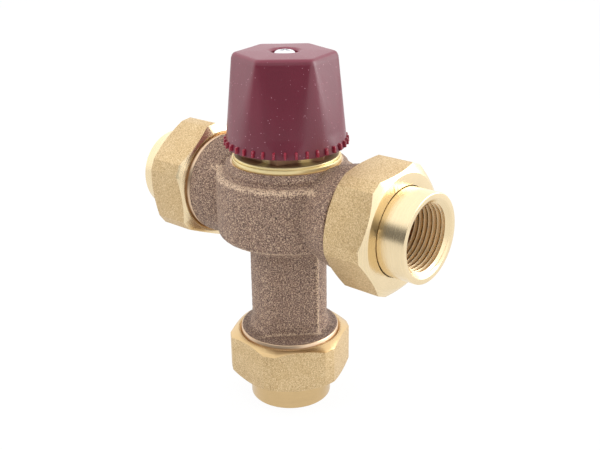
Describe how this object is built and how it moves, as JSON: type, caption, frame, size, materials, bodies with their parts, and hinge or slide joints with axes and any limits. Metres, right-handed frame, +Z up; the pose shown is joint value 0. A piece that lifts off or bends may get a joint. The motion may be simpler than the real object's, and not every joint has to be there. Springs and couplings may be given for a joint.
{
  "type": "mixing valve",
  "caption": "Cast bronze mixing valve with side inlets and a bottom outlet, brass union nuts on threaded tailpieces and a hexagonal temperature cap.",
  "frame": {"origin": "centre of the outlet tailpiece's end face, at the bottom of the valve", "axes": "+Z up along the outlet, spindle and cap; +X out of the cold inlet and -X out of the hot inlet; -Y towards the front"},
  "size_m": [0.1256, 0.0532, 0.1376],
  "materials": {
    "cast_bronze": "rough sand casting",
    "brass_blasted": "blasted matte",
    "brass_polished": "turned and polished",
    "brass_turned": "turned",
    "cap_plastic": "satin moulded",
    "rubber": "smooth",
    "fibre": "pressed fibre washer",
    "spring_steel": "drawn wire",
    "screw_steel": "bright plated",
    "copper": "drawn copper"
  },
  "bodies": {
    "valve": {"valve_body": "cast_bronze", "bonnet": "brass_turned", "bonnet_seal": "rubber", "return_spring": "spring_steel", "hot_union_nut": "brass_blasted", "hot_tailpiece": "brass_polished", "hot_gasket": "fibre", "cold_union_nut": "brass_blasted", "cold_tailpiece": "brass_polished", "cold_gasket": "fibre", "outlet_union_nut": "brass_blasted", "outlet_tailpiece": "brass_polished", "outlet_gasket": "fibre"},
    "cap_and_spindle": {"cap": "cap_plastic", "cap_screw": "screw_steel", "spindle": "brass_turned", "spindle_seal": "rubber", "spindle_clip": "spring_steel"},
    "adjusting_carriage": {"adjusting_nut": "brass_turned", "retaining_ring": "spring_steel", "overload_spring": "spring_steel"},
    "thrust_set": {"thrust_cup": "brass_turned", "element_pin": "spring_steel"},
    "shuttle_set": {"shuttle": "brass_turned", "shuttle_seal": "rubber", "wax_element": "copper"}
  },
  "joints": [
    {"name": "cap_turn", "type": "hinge", "parent": "valve", "child": "cap_and_spindle", "pos_m": [0, 0, 0.0816], "axis": [0, 0, 1], "range_deg": [-270, 270]},
    {"name": "adjusting_slide", "type": "slide", "parent": "valve", "child": "adjusting_carriage", "axis": [0, 0, 1], "range_m": [-0.0015, 0.0015]},
    {"name": "overload_slide", "type": "slide", "parent": "adjusting_carriage", "child": "thrust_set", "axis": [0, 0, 1], "range_m": [0, 0.002], "stiffness_N_per_m": 5000, "deforming": ["overload_spring"]},
    {"name": "shuttle_slide", "type": "slide", "parent": "valve", "child": "shuttle_set", "axis": [0, 0, 1], "range_m": [-0.0008, 0.0008], "stiffness_N_per_m": 5000, "deforming": ["return_spring"]}
  ],
  "couplings": [
    {"joint": "cap_turn", "follows": "adjusting_slide", "rad_per_m": 3141.6}
  ]
}
